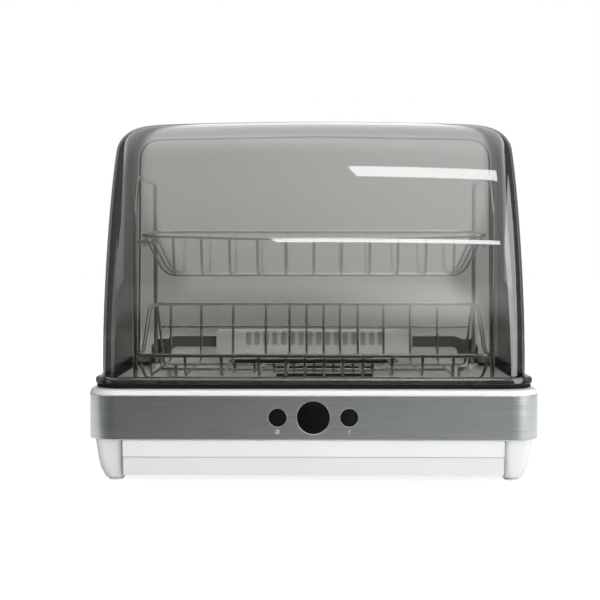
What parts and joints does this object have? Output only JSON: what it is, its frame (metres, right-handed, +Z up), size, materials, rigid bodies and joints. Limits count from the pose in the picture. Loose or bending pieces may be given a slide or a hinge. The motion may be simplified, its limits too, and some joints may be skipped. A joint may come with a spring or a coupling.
{
  "type": "electric dish dryer",
  "caption": "Countertop dish dryer: smoked hinged dome lid over wire racks, white base with a steel band, push buttons and a pull-out drip tray.",
  "frame": {"origin": "centre of the footprint at the level of the surface it stands on", "axes": "+Z up, the front with the buttons faces -Y, +X to the right seen from the front"},
  "size_m": [0.47, 0.3312, 0.3857],
  "materials": {
    "white_plastic": "satin moulded plastic",
    "smoked_plastic": "clear smoked plastic",
    "band_steel": "brushed along its length",
    "wire_steel": "polished wire",
    "black_gloss": "polished",
    "black_plastic": "matt",
    "dark_plastic": "satin",
    "rubber": "matt",
    "circuit_board": "satin lacquer",
    "mica": "matt",
    "zinc_steel": "zinc plated"
  },
  "bodies": {
    "base": {"base_housing": "white_plastic", "deck": "white_plastic", "basin": "white_plastic", "steel_band": "band_steel", "foot_front_left": "white_plastic", "foot_front_right": "white_plastic", "foot_rear_left": "white_plastic", "foot_rear_right": "white_plastic", "foot_pad_front_left": "rubber", "foot_pad_front_right": "rubber", "foot_pad_rear_left": "rubber", "foot_pad_rear_right": "rubber", "cord_gland": "black_plastic", "tray_runner_left": "white_plastic", "tray_runner_right": "white_plastic", "switch_off": "black_plastic", "switch_on": "black_plastic", "display_window": "black_gloss", "display_block": "black_plastic", "control_board": "circuit_board", "lid_seal": "rubber", "hinge_bracket_left": "white_plastic", "hinge_bracket_right": "white_plastic", "hinge_pin_left": "zinc_steel", "hinge_pin_right": "zinc_steel", "rear_duct": "white_plastic", "duct_trim": "dark_plastic", "air_screen": "black_plastic", "outlet_housing": "white_plastic", "heater": "mica", "fan_scroll": "zinc_steel", "fan_motor": "zinc_steel", "fan_bearing": "black_plastic", "side_frame_left": "wire_steel", "side_frame_right": "wire_steel"},
    "lid_assembly": {"lid": "smoked_plastic", "lid_rim": "smoked_plastic", "hinge_leaf_left": "dark_plastic", "hinge_leaf_right": "dark_plastic"},
    "tray": {"drip_tray": "white_plastic"},
    "off_button": {"button_off": "black_gloss"},
    "on_button": {"button_on": "black_gloss"},
    "fan": {"fan_rotor": "dark_plastic"},
    "lower_rack": {"lower_basket": "wire_steel", "lower_basket_wires": "wire_steel"},
    "upper_rack": {"upper_basket": "wire_steel"},
    "cutlery_rack": {"cutlery_tray": "wire_steel"}
  },
  "joints": [
    {"name": "lid_hinge", "type": "hinge", "parent": "base", "child": "lid_assembly", "pos_m": [0, 0.1536, 0.118], "axis": [-1, 0, 0], "range_deg": [0, 80]},
    {"name": "drip_tray_slide", "type": "slide", "parent": "base", "child": "tray", "axis": [0, -1, 0], "range_m": [0, 0.2]},
    {"name": "off_press", "type": "slide", "parent": "base", "child": "off_button", "axis": [0, 1, 0], "range_m": [0, 0.0015], "stiffness_N_per_m": 600, "springref_m": -0.001},
    {"name": "on_press", "type": "slide", "parent": "base", "child": "on_button", "axis": [0, 1, 0], "range_m": [0, 0.0015], "stiffness_N_per_m": 600, "springref_m": -0.001},
    {"name": "fan_spin", "type": "hinge", "parent": "base", "child": "fan", "pos_m": [0.011, 0.1416, 0.068], "axis": [1, 0, 0], "continuous": true},
    {"name": "lower_rack_lift", "type": "slide", "parent": "base", "child": "lower_rack", "axis": [0, 0, 1], "range_m": [0, 0.03]},
    {"name": "upper_rack_lift", "type": "slide", "parent": "base", "child": "upper_rack", "axis": [0, 0, 1], "range_m": [0, 0.025]},
    {"name": "cutlery_rack_lift", "type": "slide", "parent": "lower_rack", "child": "cutlery_rack", "axis": [0, 0, 1], "range_m": [0, 0.03]}
  ]
}
